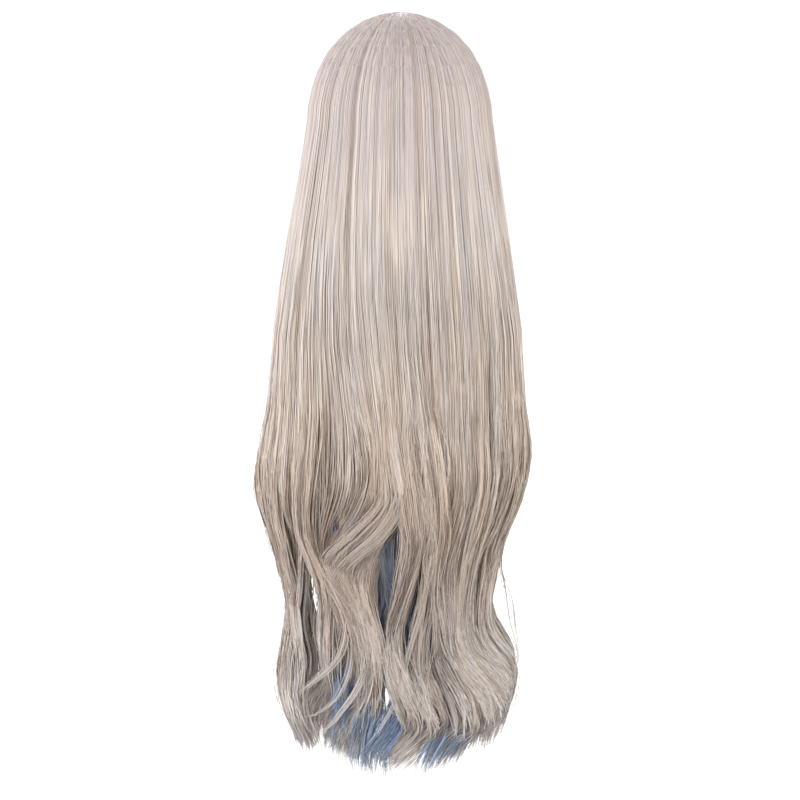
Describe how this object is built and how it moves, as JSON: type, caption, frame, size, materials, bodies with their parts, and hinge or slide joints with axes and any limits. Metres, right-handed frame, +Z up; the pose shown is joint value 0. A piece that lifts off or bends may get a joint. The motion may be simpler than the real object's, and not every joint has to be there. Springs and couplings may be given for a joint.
{
  "type": "costume wig",
  "caption": "Long wavy ash-blonde costume wig with a steel-blue under layer, on an adjustable stretch net cap with swinging falls, front locks and a parted fringe.",
  "frame": {"origin": "inside top of the cap, where the wearer's crown rests", "axes": "+Z up along the wearer's height, +Y towards the back of the head, -Y out of the face opening, +X towards the wearer's left"},
  "size_m": [0.3263, 0.2838, 0.913],
  "materials": {
    "hair_blonde": "satin ash-blonde heat-resistant synthetic fibre",
    "hair_blue": "satin steel-blue synthetic fibre",
    "net": "dark brown stretch rose net",
    "elastic": "matte woven elastic",
    "skin_top": "matte skin-coloured parting",
    "stay": "flat bendable stay, matte",
    "weft": "machine-sewn weft tracks",
    "thread": "stitched thread loops",
    "label": "blank woven label",
    "hook": "moulded adjuster hook"
  },
  "bodies": {
    "cap": {"crown_net": "net", "nape_panel": "net", "parting_skin": "skin_top", "front_band": "elastic", "nape_band": "elastic", "cap_tapes": "elastic", "ear_tab_left": "elastic", "ear_tab_right": "elastic", "ear_stay_left": "stay", "ear_stay_right": "stay", "weft_upper": "weft", "weft_middle": "weft", "weft_lower": "weft", "weft_nape": "weft", "strap_anchor_left": "elastic", "strap_anchor_right": "elastic", "hook_loops": "thread", "size_label": "label", "crown_whorl": "hair_blonde", "crown_hair_back": "hair_blonde", "crown_hair_back_left": "hair_blonde", "crown_hair_back_right": "hair_blonde", "crown_hair_side_left": "hair_blonde", "crown_hair_side_right": "hair_blonde", "crown_hair_temple_left": "hair_blonde", "crown_hair_temple_right": "hair_blonde", "crown_hair_front_left": "hair_blonde", "crown_hair_front_right": "hair_blonde"},
    "back_fall": {"back_fall": "hair_blonde", "under_fall": "hair_blue"},
    "back_left_fall": {"back_fall_left": "hair_blonde", "under_fall_left": "hair_blue"},
    "back_right_fall": {"back_fall_right": "hair_blonde", "under_fall_right": "hair_blue"},
    "side_left_fall": {"side_fall_left": "hair_blonde"},
    "side_right_fall": {"side_fall_right": "hair_blonde"},
    "left_lock": {"front_lock_left": "hair_blonde"},
    "right_lock": {"front_lock_right": "hair_blonde"},
    "left_fringe": {"fringe_left": "hair_blonde"},
    "right_fringe": {"fringe_right": "hair_blonde"},
    "left_strap": {"strap_left": "elastic", "strap_hook_left": "hook"},
    "right_strap": {"strap_right": "elastic", "strap_hook_right": "hook"}
  },
  "joints": [
    {"name": "back_fall_lift", "type": "hinge", "parent": "cap", "child": "back_fall", "pos_m": [0, 0.121, -0.121], "axis": [1, 0, 0], "range_deg": [0, 60]},
    {"name": "back_left_fall_lift", "type": "hinge", "parent": "cap", "child": "back_left_fall", "pos_m": [0.07453, 0.08849, -0.121], "axis": [0.6957, -0.7183, 0], "range_deg": [0, 60]},
    {"name": "back_right_fall_lift", "type": "hinge", "parent": "cap", "child": "back_right_fall", "pos_m": [-0.07453, 0.08849, -0.121], "axis": [0.6957, 0.7183, 0], "range_deg": [0, 60]},
    {"name": "side_left_fall_lift", "type": "hinge", "parent": "cap", "child": "side_left_fall", "pos_m": [0.10834, 0.01579, -0.121], "axis": [0.1181, -0.993, 0], "range_deg": [0, 60]},
    {"name": "side_right_fall_lift", "type": "hinge", "parent": "cap", "child": "side_right_fall", "pos_m": [-0.10834, 0.01579, -0.121], "axis": [0.1181, 0.993, 0], "range_deg": [0, 60]},
    {"name": "left_lock_lift", "type": "hinge", "parent": "cap", "child": "left_lock", "pos_m": [0.09267, -0.06412, -0.121], "axis": [-0.4915, -0.8709, 0], "range_deg": [0, 60]},
    {"name": "right_lock_lift", "type": "hinge", "parent": "cap", "child": "right_lock", "pos_m": [-0.09267, -0.06412, -0.121], "axis": [-0.4915, 0.8709, 0], "range_deg": [0, 60]},
    {"name": "left_fringe_lift", "type": "hinge", "parent": "cap", "child": "left_fringe", "pos_m": [0.02969, -0.1018, -0.058], "axis": [-0.9187, -0.395, 0], "range_deg": [0, 50]},
    {"name": "right_fringe_lift", "type": "hinge", "parent": "cap", "child": "right_fringe", "pos_m": [-0.02969, -0.1018, -0.058], "axis": [-0.9187, 0.395, 0], "range_deg": [0, 50]},
    {"name": "left_strap_swing", "type": "hinge", "parent": "cap", "child": "left_strap", "pos_m": [0.05389, 0.05185, -0.13698], "axis": [0, 0, 1], "range_deg": [0, 60]},
    {"name": "right_strap_swing", "type": "hinge", "parent": "cap", "child": "right_strap", "pos_m": [-0.05389, 0.05185, -0.13698], "axis": [0, 0, -1], "range_deg": [0, 60]}
  ]
}
